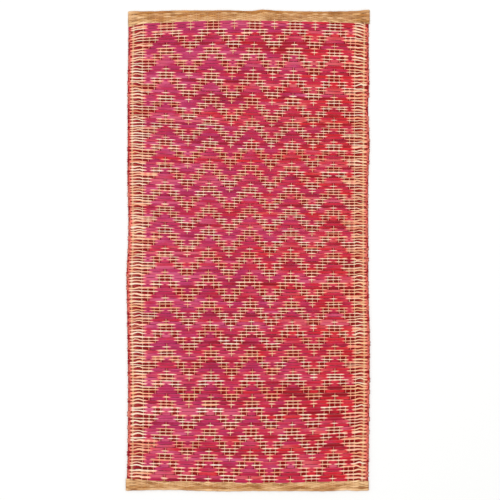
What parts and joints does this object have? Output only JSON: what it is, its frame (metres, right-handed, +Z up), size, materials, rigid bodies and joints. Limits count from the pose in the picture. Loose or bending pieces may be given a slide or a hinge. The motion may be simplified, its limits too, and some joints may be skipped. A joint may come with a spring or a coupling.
{
  "type": "rush rug",
  "caption": "Flat woven rush rug with zigzag rows of pink and natural rush, cream warps, woven side borders and tan end headings.",
  "frame": {"origin": "middle of the rug on the ground, under its box", "axes": "+Z up out of the face; +Y along the rug's length, to the far heading; +X across its width, to the right"},
  "size_m": [0.7068, 1.3952, 0.008],
  "materials": {
    "dyed_rush": "rush stems dyed pink to red, flat laid, with a dry satin surface",
    "natural_rush": "undyed cream rush strands, dry and slightly waxy",
    "cotton_warp": "twisted cream cotton cord",
    "heading_rush": "tan rush, closely beaten in plain weave"
  },
  "bodies": {
    "root": {"rush_rug": "dyed_rush"}
  },
  "joints": []
}
